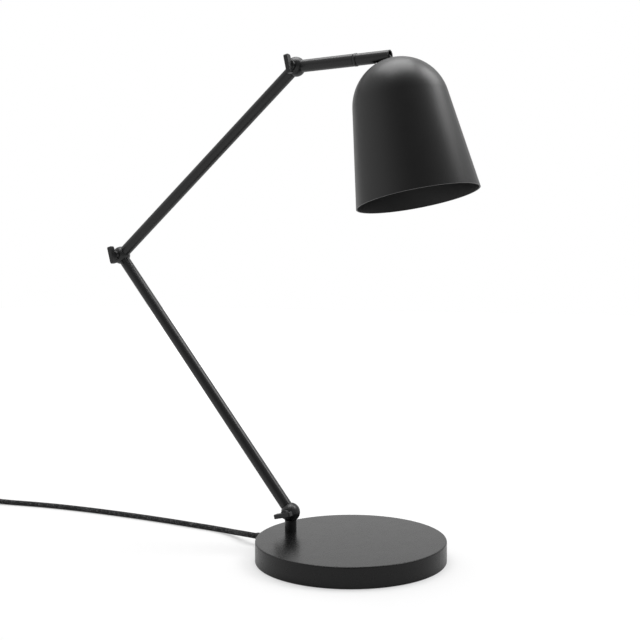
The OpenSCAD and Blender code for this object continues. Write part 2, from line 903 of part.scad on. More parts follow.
// Fork on the dome: two cheeks for the pin on a base that follows the sphere
module shade_fork() {
    color("#1b1b1c")
        in_shade()
            difference() {
                union() {
                    intersection() {
                        union() {
                            translate(pin_local)
                                bar_y(cheek_r, -cheek_out, cheek_out);
                            translate(pin_local - [cheek_r, cheek_out, cheek_r])
                                cube([2 * cheek_r, 2 * cheek_out, cheek_r]);
                        }
                        translate(pin_local)
                            cube([3 * cheek_r, 2 * cheek_out, 3 * cheek_r], center = true);
                    }
                    intersection() {
                        translate([0, 0, dome_z])
                            sphere(r = dome_r + fork_base_t);
                        translate(pin_local - [fork_base_back, cheek_out, 2 * fork_base_back])
                            cube([fork_base_back, 2 * cheek_out, 3 * fork_base_back]);
                    }
                }
                translate([0, 0, dome_z])
                    sphere(r = dome_r + run);
                translate(pin_local - [cheek_r + 1, cheek_in, 2 * cheek_r])
                    cube([3 * cheek_r, 2 * cheek_in, 4 * cheek_r]);
                translate(pin_local)
                    bar_y(pin_r + 0.02, -2 * cheek_out, 2 * cheek_out);
            }
    color("#9b9da0")
        in_shade()
            translate([0, 0, dome_z])
                rotate([0, -stud_polar, 0])
                    bar_z(stud_r, dome_r - stud_in, dome_r + fork_base_t - 0.3);
}

module fork_nut() {
    top = dome_r - shade_wall - cup_top_t - 0.35;
    color("#9b9da0")
        in_shade()
            translate([0, 0, dome_z])
                rotate([0, -stud_polar, 0])
                    difference() {
                        hex_z(nut_m3_across, top - nut_m3_h, top);
                        bar_z(stud_r + run, 0, dome_r);
                    }
}

// The space within a shade outline that lies a sheet's thickness t inside the outer face
module shade_space(t, below) {
    r = dome_r - t;
    top_r = r * cos(tangent);
    top_z = dome_z + r * sin(tangent);
    low_r = top_r + (top_z + below) * tan(tangent);
    translate([0, 0, -below])
        cylinder(r1 = low_r, r2 = top_r, h = top_z + below, $fn = 144);
    intersection() {
        translate([0, 0, dome_z])
            sphere(r = r, $fn = 144);
        translate([-dome_r, -dome_r, top_z])
            cube([2 * dome_r, 2 * dome_r, dome_r]);
    }
}

module shade_shell() {
    color("#1d1d1e")
        in_shade()
            difference() {
                shade_space(0, 0);
                shade_space(shade_wall, 1);
                translate([0, 0, dome_z])
                    rotate([0, -stud_polar, 0])
                        bar_z(stud_r + run, 0, 2 * dome_r);
            }
}

// Cup that follows the inside of the dome and carries the lamp holder
module lamp_cup() {
    color("#c9c9c6")
        in_shade()
            difference() {
                intersection() {
                    translate([0, 0, dome_z])
                        sphere(r = dome_r - shade_wall - run);
                    bar_z(cup_r, cup_z, shade_h);
                }
                intersection() {
                    translate([0, 0, dome_z])
                        sphere(r = dome_r - shade_wall - cup_top_t);
                    bar_z(cup_r - cup_wall, cup_z - 1, shade_h);
                }
                translate([0, 0, dome_z])
                    rotate([0, -stud_polar, 0])
                        bar_z(stud_r + run, 0, 2 * dome_r);
                bar_z(5.6, cup_z, shade_h);
            }
}

module lampholder() {
    color("#d8d6cf")
        in_shade()
            difference() {
                union() {
                    bar_z(cup_r - cup_wall - run, cup_z, cup_z + cup_flange_h);
                    bar_z(lampholder_r, lampholder_z, cup_z);
                }
                bar_z(socket_r, lampholder_z - 1, socket_top);
                bar_z(1.6, 0, shade_h);
            }
}

module bulb_cap() {
    color("#c2c2c0")
        in_shade()
            union() {
                bar_z(cap_r, cap_z, cap_z + cap_h);
                bar_z(contact_r, cap_z + cap_h - 1, cap_z + cap_h + contact_h);
            }
}

// Outline of the bulb's glass, drawn in by a thickness t
module bulb_space(t) {
    centre = bulb_z + bulb_r;
    tilt = acos((bulb_r - cap_r) / (bulb_neck_z - centre));
    translate([0, 0, centre])
        sphere(r = bulb_r - t);
    translate([0, 0, centre])
        cylinder(r1 = (bulb_r - t) * 0.86, r2 = cap_r - 0.1 - t, h = bulb_neck_z - centre);
    bar_z(cap_r - 0.1 - t, centre, cap_z + (t > 0 ? 1 : 0));
}

module bulb_glass() {
    color([0.95, 0.95, 0.92, 0.6])
        in_shade()
            difference() {
                bulb_space(0);
                bulb_space(glass_t);
            }
}

module cord() {
    color("#232324")
        swept(cord_route, cord_r, 10, [0, 0, 1]);
}

module cord_lead() {
    color("#232324")
        swept(lead_route, cord_r, 10, [0, 0, 1]);
}

module cord_tail() {
    color("#232324")
        swept(tail_route, cord_r, 10, [0, 0, 1]);
}

module cord_coil() {
    color("#232324")
        swept(coil_path, cord_r, 6, [0, 0, 1]);
}

// Rounded rectangle on the XY plane from its low corner
module rounded(w, h, r) {
    translate([r, 0])
        square([w - 2 * r, h]);
    translate([0, r])
        square([w, h - 2 * r]);
    for (x = [r, w - r])
        for (y = [r, h - r])
            translate([x, y])
                circle(r = r);
}

// Soft band round the coil's turns, on the side away from the switch
module coil_tie() {
    low = coil_in_r - coil_pitch / 4 - cord_r - 0.8;
    high = coil_out_r + cord_r + 0.6;
    tall = coil_pitch + cord_d + 0.3;
    width = 9;
    color("#111111")
        translate(coil_centre)
            rotate([0, 0, heading])
                translate([0, width / 2, 0])
                    rotate([90, 0, 0])
                        linear_extrude(width)
                            translate([low - tie_t, 0])
                                difference() {
                                    rounded(high - low + 2 * tie_t, tall + 2 * tie_t, 3);
                                    translate([tie_t, tie_t])
                                        rounded(high - low, tall, 2);
                                }
}

// Outline of the inline switch seen from above, drawn in by t
module switch_outline(t) {
    translate([-switch_len / 2 + t, -switch_w / 2 + t])
        rounded(switch_len - 2 * t, switch_w - 2 * t, 6 - t);
}

module switch_bores(r) {
    for (x = [-1, 1])
        translate([x * (switch_len / 2 - 8), x * (switch_w / 2 - 6), 0])
            bar_z(r, -1, switch_h + 1);
}

module switch_base() {
    wall = 1.6;
    color("#151515")
        in_switch()
            difference() {
                linear_extrude(switch_split)
                    switch_outline(0);
                translate([0, 0, wall])
                    linear_extrude(switch_split)
                        difference() {
                            switch_outline(wall);
                            for (x = [-1, 1])
                                translate([x * (switch_len / 2 - 8), x * (switch_w / 2 - 6)])
                                    circle(r = 3.4);
                        }
                translate([0, 0, switch_start[2]])
                    bar_x(cord_r + run, -switch_len, switch_len);
                translate([-switch_len, -cord_r - run, switch_start[2]])
                    cube([2 * switch_len, 2 * cord_r + 2 * run, switch_h]);
                switch_bores(1.25 + run);
                for (x = [-1, 1])
                    translate([x * (switch_len / 2 - 8), x * (switch_w / 2 - 6), 0])
                        bar_z(2.6, -1, 2);
            }
}

module switch_cover() {
    wall = 1.6;
    slot_w = rocker_w + 0.8;
    slot_len = rocker_len + 0.8;
    color("#151515")
        in_switch()
            difference() {
                union() {
                    translate([0, 0, switch_split])
                        linear_extrude(switch_h - switch_split - 2)
                            switch_outline(0);
                    translate([0, 0, switch_split])
                        linear_extrude(switch_h - switch_split)
                            switch_outline(2);
                }
                translate([0, 0, switch_split - 1])
                    linear_extrude(switch_h - switch_split + 1 - wall - 1)
                        difference() {
                            switch_outline(2 + wall);
                            for (x = [-1, 1])
                                translate([x * (switch_len / 2 - 8), x * (switch_w / 2 - 6)])
                                    circle(r = 3.4);
                            for (y = [-1, 1])
                                translate([-2.5, y * (rocker_w / 2 + 1.8) - 1.4])
                                    square([5, 2.8]);
                        }
                translate([-slot_len / 2, -slot_w / 2, 0])
                    cube([slot_len, slot_w, switch_h + 1]);
                translate([0, 0, rocker_z])
                    bar_y(1.2 + run, -rocker_w / 2 - 3, rocker_w / 2 + 3);
                for (x = [-1, 1])
                    translate([x * (switch_len / 2 - 8), x * (switch_w / 2 - 6), 0])
                        bar_z(1.25 + run, 0, switch_h - 3);
            }
}

// Rocker with its stub axles across the switch, tipped to one side at rest
module switch_rocker() {
    top_r = 30;
    color("#1f1f20")
        in_switch()
            translate([0, 0, rocker_z])
                rotate([0, rocker_tilt, 0]) {
                    intersection() {
                        translate([0, 0, 1.5])
                            cube([rocker_len, rocker_w, 8], center = true);
                        translate([0, 0, top_r + 3.2])
                            difference() {
                                translate([-top_r, -top_r, -2 * top_r])
                                    cube([2 * top_r, 2 * top_r, 2 * top_r]);
                                bar_y(top_r, -top_r, top_r);
                            }
                        bar_y(rocker_len / 2 - 0.3, -rocker_w, rocker_w);
                    }
                    bar_y(1.2, -rocker_w / 2 - 2.6, rocker_w / 2 + 2.6);
                }
}

module switch_screws() {
    color("#8d8f92")
        in_switch()
            for (x = [-1, 1])
                translate([x * (switch_len / 2 - 8), x * (switch_w / 2 - 6), 0])
                    difference() {
                        union() {
                            bar_z(1.25, 0.6, switch_h - 4);
                            bar_z(2.4, 0.6, 1.9);
                        }
                        translate([-3, -0.35, 0])
                            cube([6, 0.7, 1.1]);
                    }
}

// Flat two-pin plug: a six-sided grip with a tapered neck for the cord
module plug_body() {
    color("#151515")
        in_plug()
            difference() {
                union() {
                    hull() {
                        translate([plug_neck_len + plug_len, 0, 0])
                            for (y = [-1, 1])
                                translate([-2.5, y * (plug_w / 2 - 6.3), plug_h / 2])
                                    bar_y(2.5, -0.1, 0.1, $fn = 32);
                        for (x = [plug_neck_len + 2, plug_neck_len + plug_len - 1.5])
                            for (y = [-1, 1])
                                translate([x, y * (x > plug_neck_len + 3 ? plug_w / 2 - 3
                                    : plug_w / 2 - 9), 0])
                                    cylinder(r = 3, h = plug_h - 3, $fn = 32);
                        for (x = [plug_neck_len + 6, plug_neck_len + plug_len - 1.5])
                            for (y = [-1, 1])
                                translate([x, y * (plug_w / 2 - 8), 0])
                                    cylinder(r = 3, h = plug_h, $fn = 32);
                    }
                    translate([0, 0, tail_z])
                        rotate([0, 90, 0])
                            cylinder(r1 = cord_r + 0.8, r2 = plug_h / 2 - 0.8,
                                h = plug_neck_len + 3);
                }
                translate([0, 0, tail_z])
                    bar_x(cord_r + run, -1, 0);
                for (y = [-1, 1])
                    translate([0, y * plug_pin_gap / 2, tail_z])
                        bar_x(plug_pin_r + 0.02, plug_neck_len + plug_len - 12,
                            plug_neck_len + plug_len + 5);
            }
}

module plug_pins() {
    color("#c8c9c7")
        in_plug()
            for (y = [-1, 1])
                translate([0, y * plug_pin_gap / 2, tail_z]) {
                    bar_x(plug_pin_r, plug_neck_len + plug_len - 11.9,
                        plug_neck_len + plug_len + 1.5 + plug_pin_len - 1);
                    bar_x(plug_pin_r - 0.5, plug_neck_len + plug_len,
                        plug_neck_len + plug_len + 1.5 + plug_pin_len);
                }
}

base_cover();
base_weight();
base_plate();
base_pad();
base_screws();
stem();
stem_nut();
stem_washer();
strain_relief();
cord_clamp();
clamp_screws();
base_leads();
lower_far_half();
knuckle_bolt(lower_pivot, -90);  // lower_bolt
friction_ring(lower_pivot);  // lower_ring
lower_near_half();
wing_key(lower_pivot, lower_key_turn);  // lower_key
lower_tube();
lower_lead();
middle_near_half();
friction_ring(middle_pivot);  // middle_ring
middle_far_half();
knuckle_bolt(middle_pivot, upper_angle);  // middle_bolt
wing_key(middle_pivot, middle_key_turn);  // middle_key
upper_tube();
upper_lead();
top_far_half();
knuckle_bolt(top_pivot, upper_angle + 180);  // top_bolt
friction_ring(top_pivot);  // top_ring
top_near_half();
wing_key(top_pivot, top_key_turn);  // top_key
short_tube();
short_lead();
swivel_bush();
swivel_spindle();
spindle_clip();
holder_tube();
holder_lead();
hinge_tongue();
hinge_pin();
shade_fork();
fork_nut();
shade_shell();
lamp_cup();
lampholder();
bulb_cap();
bulb_glass();
cord();
cord_lead();
cord_coil();
cord_tail();
coil_tie();
switch_base();
switch_cover();
switch_rocker();
switch_screws();
plug_body();
plug_pins();
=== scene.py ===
"""Looks of the dome shade desk lamp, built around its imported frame.

Metres, +Z up, the shade towards +X. Values in millimetres say so and are scaled by MM.
"""

import json
import math

import bpy
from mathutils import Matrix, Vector


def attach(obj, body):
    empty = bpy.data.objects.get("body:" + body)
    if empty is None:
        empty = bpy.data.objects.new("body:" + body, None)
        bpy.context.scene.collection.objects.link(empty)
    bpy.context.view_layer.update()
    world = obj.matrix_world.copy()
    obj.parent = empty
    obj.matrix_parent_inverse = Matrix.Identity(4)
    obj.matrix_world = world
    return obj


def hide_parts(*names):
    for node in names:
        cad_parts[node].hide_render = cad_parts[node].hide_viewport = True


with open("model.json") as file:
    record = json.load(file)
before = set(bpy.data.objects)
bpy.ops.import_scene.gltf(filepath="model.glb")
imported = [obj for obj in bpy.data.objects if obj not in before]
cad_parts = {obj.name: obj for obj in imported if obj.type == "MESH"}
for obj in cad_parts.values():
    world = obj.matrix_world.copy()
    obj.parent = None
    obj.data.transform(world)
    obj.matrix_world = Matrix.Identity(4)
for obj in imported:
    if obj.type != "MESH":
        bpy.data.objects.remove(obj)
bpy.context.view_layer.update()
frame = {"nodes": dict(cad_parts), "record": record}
nodes = frame["nodes"]
scene = bpy.context.scene
scene.view_settings.view_transform = "Standard"
MM = 0.001
TINY = 1e-9
UP = Vector((0, 0, 1))

# ---------------------------------------------------------------- camera

CAMERA_AT = (0.42582, -0.83557, 0.28041)
# Degrees below level, and degrees to the left of looking along +Y
CAMERA_DOWN = 2.6106
CAMERA_TURN = 27.07
CAMERA_SENSOR = 36
CAMERA_LENS = 53.686
CAMERA_SHIFT = -0.0467


def make_camera():
    data = bpy.data.cameras.new("camera")
    data.sensor_width = CAMERA_SENSOR
    data.lens = CAMERA_LENS
    data.shift_x = CAMERA_SHIFT
    camera = bpy.data.objects.new("camera", data)
    camera.location = CAMERA_AT
    camera.rotation_euler = (math.radians(90 - CAMERA_DOWN), 0, math.radians(CAMERA_TURN))
    scene.collection.objects.link(camera)
    scene.camera = camera


make_camera()

# ---------------------------------------------------------------- cord

CORD_D = 0.006
CORD_STEP = 0.0012
CORD_SIDES = 28
# Middle line from the outlet to the switch in millimetres, along the cord as photographed
CORD_ROUTE = [
    (-111, 0, 9), (-114, 0, 9), (-119, 0.7, 8.9), (-124.5, 2.6, 8.4), (-130, 5.3, 7.6),
    (-136, 8.5, 6.7), (-143, 12, 5.6), (-152, 16, 4.5), (-162, 19.4, 3.7), (-173, 21.7, 3.2),
    (-186, 23.2, 3), (-202, 24, 3), (-220, 24.8, 3), (-240, 25.6, 3), (-262, 26.1, 3),
    (-285, 26.3, 3), (-308, 26.1, 3), (-331, 25.5, 3), (-354, 24.6, 3), (-376, 23.2, 3),
    (-398, 21.3, 3), (-419, 18.9, 3), (-439, 15.9, 3), (-458, 12.4, 3), (-475, 8.9, 3.1),
    (-490, 5.6, 3.6), (-504, 2.5, 4.6), (-512, 0.8, 5), (-518, -0.5, 5),
]
# The way the cord runs through the switch, and the way to its left
HEADING = math.radians(192.4)
AHEAD = Vector((math.cos(HEADING), math.sin(HEADING), 0))
SIDE = Vector((-math.sin(HEADING), math.cos(HEADING), 0))
SWITCH_LEN = 0.056
# Shares of the switch's length at which the cord's line has points inside it
SWITCH_POINTS = (0.3, 0.7)
# Length of the cord between the switch and the coil, and its straight part at either end
SWITCH_LEAD = 0.040
LEAD_STRAIGHT = 0.008
# The coil's turns in each layer, the part of a turn in which the cord climbs, and its radius
COIL_PITCH = 0.0066
COIL_TURNS = 2.5
COIL_CLIMB = 0.5
COIL_OUT_R = 0.044
COIL_IN_R = COIL_OUT_R - COIL_TURNS * COIL_PITCH
COIL_Z = 0.0042
COIL_STEPS_PER_TURN = 48
# Distance back from the coil, and the share of the fall to the plug's height
TAIL_POINTS = [(0.007, 0), (0.020, 0.3), (0.034, 0.8), (0.046, 1), (0.054, 1)]
TAIL_Z = 0.0068

SWITCH_START = Vector(CORD_ROUTE[-1]) * MM
SWITCH_END = SWITCH_START + SWITCH_LEN * AHEAD
COIL_START = SWITCH_END + SWITCH_LEAD * AHEAD
COIL_START.z = COIL_Z
COIL_CENTRE = COIL_START + CORD_D * AHEAD + COIL_OUT_R * SIDE
COIL_CENTRE.z = 0


def between(pair, share):
    """The value at a share of the way from the first to the second."""
    return pair[0] + (pair[1] - pair[0]) * share


def rise(x, start, end):
    """A smooth change from 0 at the start to 1 at the end."""
    s = min(1, max(0, (x - start) / (end - start)))
    return s * s * (3 - 2 * s)


def circle(steps):
    """The cosine and sine at equal steps of one turn."""
    angles = [math.tau * k / steps for k in range(steps)]
    return [(math.cos(angle), math.sin(angle)) for angle in angles]


def coil_point(turn):
    """A point of the coil about its centre: spiral in, climb a layer, spiral out again."""
    top_start = COIL_TURNS + COIL_CLIMB
    if turn <= COIL_TURNS:
        radius = COIL_OUT_R - COIL_PITCH * turn
    elif turn <= top_start:
        radius = COIL_IN_R - COIL_PITCH * min(turn - COIL_TURNS, top_start - turn)
    else:
        radius = COIL_IN_R + COIL_PITCH * (turn - top_start)
    height = COIL_Z + COIL_PITCH * rise(turn, COIL_TURNS, top_start)
    # A quarter of a turn back, where a turn to the left starts along the heading
    angle = HEADING + (turn - 0.25) * math.tau
    return Vector((radius * math.cos(angle), radius * math.sin(angle), height))


def cord_points():
    """The cord's whole route, from the outlet through the switch and the coil to the plug."""
    route = [Vector(p) * MM for p in CORD_ROUTE]
    route += [SWITCH_START + share * SWITCH_LEN * AHEAD for share in SWITCH_POINTS]
    middle = SWITCH_END + SWITCH_LEAD / 2 * AHEAD
    middle.z = (SWITCH_END.z + COIL_Z) / 2
    route += [SWITCH_END, SWITCH_END + LEAD_STRAIGHT * AHEAD, middle,
              COIL_START - LEAD_STRAIGHT * AHEAD, COIL_START]
    steps = round((2 * COIL_TURNS + COIL_CLIMB) * COIL_STEPS_PER_TURN)
    route += [COIL_CENTRE + coil_point(i / COIL_STEPS_PER_TURN) for i in range(steps + 1)]
    fall = route[-1].z - TAIL_Z
    tail_start = route[-1] - CORD_D * AHEAD
    route.append(tail_start)
    return route + [tail_start - along * AHEAD - share * fall * UP for along, share in TAIL_POINTS]


def resample(points, step):
    """Points at equal steps along a smooth curve through the given points, and its length."""
    fine = []
    last = len(points) - 1
    for i in range(last):
        a, b, c, d = (points[min(max(j, 0), last)] for j in range(i - 1, i + 3))
        span = (c - b).length
        tangent_b = (c - a) / max((c - a).length, TINY) * span
        tangent_c = (d - b) / max((d - b).length, TINY) * span
        pieces = max(2, round(span / (step / 2)))
        for k in range(pieces):
            t = k / pieces
            fine.append((2 * t**3 - 3 * t**2 + 1) * b + (t**3 - 2 * t**2 + t) * tangent_b
                        + (3 * t**2 - 2 * t**3) * c + (t**3 - t**2) * tangent_c)
    fine.append(points[-1])
    lengths = [0]
    for a, b in zip(fine, fine[1:]):
        lengths.append(lengths[-1] + (b - a).length)
    count = round(lengths[-1] / step)
    out, j = [], 0
    for i in range(count + 1):
        want = lengths[-1] * i / count
        while j < len(fine) - 2 and lengths[j + 1] < want:
            j += 1
        share = (want - lengths[j]) / max(lengths[j + 1] - lengths[j], TINY)
        out.append(fine[j].lerp(fine[j + 1], share))
    return out, lengths[-1]


def new_object(name, vertices, faces, smooth=True):
    mesh = bpy.data.meshes.new(name)
    mesh.from_pydata([tuple(v) for v in vertices], [], faces)
    mesh.update()
    if smooth:
        mesh.shade_smooth()
    obj = bpy.data.objects.new(name, mesh)
    scene.collection.objects.link(obj)
    return obj


def loft(name, rings, closed=False):
    """A skin over rings of equal length, with capped ends unless the rings close on themselves."""
    sides = len(rings[0])
    vertices = [p for ring in rings for p in ring]
    faces = []
    for i in range(len(rings) if closed else len(rings) - 1):
        j = (i + 1) % len(rings)
        for k in range(sides):
            n = (k + 1) % sides
            faces.append((i * sides + k, i * sides + n, j * sides + n, j * sides + k))
    if not closed:
        faces.append(tuple(range(sides - 1, -1, -1)))
        faces.append(tuple((len(rings) - 1) * sides + k for k in range(sides)))
    return new_object(name, vertices, faces)


def tube(name, centres, radius, sides):
    """A closed tube along points, with a UV map of metres along it and the turn round it."""
    rings, loops_uv = [], []
    last = len(centres) - 1
    step = (centres[1] - centres[0]).length
    for i, point in enumerate(centres):
        tangent = (centres[min(i + 1, last)] - centres[max(i - 1, 0)]).normalized()
        side = UP.cross(tangent).normalized()
        top = tangent.cross(side)
        rings.append([point + radius * (c * side + s * top) for c, s in circle(sides)])
    for i in range(last):
        here, there = i * step, (i + 1) * step
        for k in range(sides):
            low, high = k / sides, (k + 1) / sides
            loops_uv += [(here, low), (here, high), (there, high), (there, low)]
    loops_uv += [(0, 0)] * (2 * sides)
    obj = loft(name, rings)
    layer = obj.data.uv_layers.new(name="along")
    for loop, uv in zip(layer.data, loops_uv):
        loop.uv = uv
    return obj


cord_line, cord_length = resample(cord_points(), CORD_STEP)
cord = tube("braided_cord", cord_line, CORD_D / 2, CORD_SIDES)
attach(cord, "root")
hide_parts("cord", "cord_lead", "cord_coil", "cord_tail")

# ---------------------------------------------------------------- pieces on the cord, sizes in mm

OUTLET_Z = 9
SLEEVE_BORE = 3.06
SLEEVE_SIDES = 48
# Degrees between faces from which an edge stays sharp
SHARP_FROM = 50
PLUG_SHARP_FROM = 55

# The strain relief's profile: distance from the base's middle, radius
RELIEF_ROOT = [
    (88.6, SLEEVE_BORE), (88.6, 3.9), (91.3, 3.9), (91.3, 4.9), (93.2, 4.9), (93.2, 3.9),
    (95.05, 3.9), (95.05, 4.8), (95.3, 5.0), (96.7, 5.0), (97.05, 4.75), (97.2, 4.4),
]
RELIEF_TIP = [(110.6, 3.5), (111.0, 3.3), (111.0, SLEEVE_BORE)]
# Its taper with grooves: distances and radii at both ends, number of grooves
RELIEF_TAPER = (97.6, 110.4)
RELIEF_TAPER_R = (4.4, 3.65)
RELIEF_GROOVES = 7
# A groove and its rib: share of the pitch, depth
RELIEF_GROOVE = [(0, 0.135), (0.12, 0), (0.5, 0), (0.62, 0.135), (0.7, 0.45), (0.92, 0.45)]

# A bush at the switch's end: distance from the switch, radius
BUSH_PROFILE = [
    (0.02, SLEEVE_BORE), (0.02, 4.5), (1.1, 4.5), (1.5, 4.35), (1.7, 4.0), (2.6, 3.75), (2.9, 3.5),
    (2.9, SLEEVE_BORE),
]

PLUG_LEN = 54
PLUG_STEPS = 150
PLUG_SIDES = 64
# Distances along the plug from the cord: change from neck to grip, rounding of the face
PLUG_SHOULDER = (17, 24)
PLUG_FACE = (52, 54)
PLUG_FACE_ROUNDING = (1.2, 0.9)
# Neck's radius up to the grip's start, grip's half width from there on, and its half height
PLUG_GRIP_START = 20
PLUG_NECK_R = (3.8, 5.9)
PLUG_GRIP_HALF_W = (11.2, 16.6)
PLUG_GRIP_HALF_H = 6.6
# Power of the outline across: round at the neck, flat with rounded corners at the grip
PLUG_POWER = (2, 4.4)
# Rows of grooves: start, end, pitch, depth, power
PLUG_NECK_GROOVES = (1.5, 16, 2.4, 0.45, 0.5)
PLUG_GRIP_GROOVES = (28, 46, 3.6, 0.55, 0.6)

# The strap's opening: distances from the coil's centre, heights, corner radius
STRAP_ACROSS = (25.75, 45.75)
STRAP_HEIGHTS = (1.05, 14.05)
STRAP_CORNER = 3.4
STRAP_POINTS = 96
# Thickness, half width and edge of the band, then its lapped end: how far outside the opening,
# how thick, between which points of the outline, and its half width
STRAP_THICK = 0.9
STRAP_HALF_WIDTH = 4.4
STRAP_EDGE = 0.25
LAP_OUT = 0.92
LAP_THICK = 0.85
LAP_SPAN = (12, 58)
LAP_HALF_WIDTH = 4.2


def keep_edges(obj, degrees):
    """Smooth shading that keeps the edges sharper than an angle."""
    obj.data.set_sharp_from_angle(angle=math.radians(degrees))


def sleeve(name, start, ahead, profile):
    """A round sleeve on the cord: a closed profile of distance and radius turned about a line."""
    side = UP.cross(ahead)
    rings = []
    for c, s in circle(SLEEVE_SIDES):
        out = s * side + c * UP
        rings.append([start + MM * (x * ahead + r * out) for x, r in profile])
    obj = loft(name, rings, closed=True)
    keep_edges(obj, SHARP_FROM)
    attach(obj, "root")
    return obj


def make_relief():
    """Ribbed sleeve where the cord leaves the base: flange, then grooves along a taper."""
    profile = list(RELIEF_ROOT)
    for groove in range(RELIEF_GROOVES):
        for share, depth in RELIEF_GROOVE:
            along = (groove + share) / RELIEF_GROOVES
            profile.append((between(RELIEF_TAPER, along), between(RELIEF_TAPER_R, along) - depth))
    profile += RELIEF_TIP
    obj = sleeve("relief_sleeve", OUTLET_Z * MM * UP, Vector((-1, 0, 0)), profile)
    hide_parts("strain_relief")
    return obj


def make_switch_bushes():
    """A soft bush round the cord at each end of the switch."""
    return [sleeve("switch_bush_near", SWITCH_START, -AHEAD, BUSH_PROFILE),
            sleeve("switch_bush_far", SWITCH_END, AHEAD, BUSH_PROFILE)]


def groove_depth(x, start, end, pitch, depth, power):
    """How deep a row of rounded grooves is at a distance along the plug."""
    if not start < x < end:
        return 0
    return depth * max(0, math.sin(math.tau * (x - start) / pitch)) ** power


def superellipse(half_w, half_h, power):
    """Outline across the plug: an ellipse at power 2, and nearer to a rectangle above it."""
    return [(half_w * math.copysign(abs(c) ** (2 / power), c),
             half_h * math.copysign(abs(s) ** (2 / power), s)) for c, s in circle(PLUG_SIDES)]


def make_plug():
    """Moulded two-pin plug: ribbed neck, flat grip with finger grooves and a rounded face."""
    origin = Vector((cord_line[-1].x, cord_line[-1].y, TAIL_Z))
    grip_len = PLUG_LEN - PLUG_GRIP_START
    rings = []
    for i in range(PLUG_STEPS + 1):
        x = PLUG_LEN * i / PLUG_STEPS
        neck = between(PLUG_NECK_R, x / PLUG_GRIP_START) - groove_depth(x, *PLUG_NECK_GROOVES)
        grip = (between(PLUG_GRIP_HALF_W, (x - PLUG_GRIP_START) / grip_len)
                - groove_depth(x, *PLUG_GRIP_GROOVES))
        shoulder = rise(x, *PLUG_SHOULDER)
        face = rise(x, *PLUG_FACE)
        half_w = between((neck, grip), shoulder) - PLUG_FACE_ROUNDING[0] * face
        half_h = between((neck, PLUG_GRIP_HALF_H), shoulder) - PLUG_FACE_ROUNDING[1] * face
        outline = superellipse(half_w, half_h, between(PLUG_POWER, shoulder))
        rings.append([origin + MM * (b * UP - x * AHEAD - a * SIDE) for a, b in outline])
    plug = loft("plug_grip", rings)
    keep_edges(plug, PLUG_SHARP_FROM)
    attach(plug, "root")
    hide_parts("plug_body")
    return plug


def strap_outline(grow):
    """Points round the strap's opening, at a distance outside it: distance across, height."""
    half_w = (STRAP_ACROSS[1] - STRAP_ACROSS[0]) / 2 + grow
    half_h = (STRAP_HEIGHTS[1] - STRAP_HEIGHTS[0]) / 2 + grow
    corner = STRAP_CORNER + grow
    points = []
    for c, s in circle(STRAP_POINTS):
        reach = min(half_w / max(abs(c), TINY), half_h / max(abs(s), TINY))
        across, height = c * reach, s * reach
        if abs(across) > half_w - corner and abs(height) > half_h - corner:
            middle = Vector((math.copysign(half_w - corner, c), math.copysign(half_h - corner, s)))
            out = (Vector((across, height)) - middle).normalized()
            across, height = middle + corner * out
        points.append((between(STRAP_ACROSS, 0.5) + across, between(STRAP_HEIGHTS, 0.5) + height))
    return points


def strap_band(name, grow, thick, span, half_width):
    """A band round the coil between two points of the outline, or all round it."""
    near, far = strap_outline(grow), strap_outline(grow + thick)
    start, stop = span
    whole = stop - start >= STRAP_POINTS
    # Share of the thickness and distance across the band, round one of its two rounded edges
    edge = [(0.7, half_width), (0.95, half_width - STRAP_EDGE), (1, half_width - 3 * STRAP_EDGE)]
    section = [(0, -half_width), (0, 0), (0, half_width), *edge, (1, 0)]
    section += [(share, -across) for share, across in reversed(edge)]
    rings = []
    for i in range(start, stop if whole else stop + 1):
        inner, outer = near[i % STRAP_POINTS], far[i % STRAP_POINTS]
        ring = []
        for share, across in section:
            out, height = (between(pair, share) for pair in zip(inner, outer))
            ring.append(COIL_CENTRE + MM * (out * AHEAD + across * SIDE + height * UP))
        rings.append(ring)
    obj = loft(name, rings, closed=whole)
    keep_edges(obj, SHARP_FROM)
    return obj


def make_strap():
    """Soft hook-and-loop strap: a band that hugs the coil's turns, its end lapped over the top."""
    strap = strap_band("coil_strap", 0, STRAP_THICK, (0, STRAP_POINTS), STRAP_HALF_WIDTH)
    lap = strap_band("coil_strap_end", LAP_OUT, LAP_THICK, LAP_SPAN, LAP_HALF_WIDTH)
    for obj in (strap, lap):
        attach(obj, "root")
    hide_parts("coil_tie")
    return strap, lap


relief = make_relief()
bushes = make_switch_bushes()
plug = make_plug()
strap, strap_end = make_strap()

# ---------------------------------------------------------------- edges of the frame's nodes

WELD_WITHIN = 1e-6
EMPTY_AREA = 1e-13
FLAT_WITHIN = math.radians(0.3)
BEVEL_FROM = math.radians(40)
# Width of the rounding in millimetres and its segments, for nodes whose edges show
BEVELS = [
    (("switch_base", "switch_cover"), 0.8, 4),
    (("switch_rocker",), 0.35, 3),
    (("lower_near_half", "lower_far_half", "middle_near_half", "middle_far_half",
      "top_near_half", "top_far_half"), 0.25, 2),
    (("base_pad", "swivel_bush", "lamp_cup", "shade_fork"), 0.2, 2),
]
CASTINGS = ("lower_key", "middle_key", "top_key")
CASTING_GRID = 0.0003
CASTING_ROUNDS = 10
# Smooth shells that are imported with a few faces without area
SHELLS = ("shade_shell", "bulb_glass")


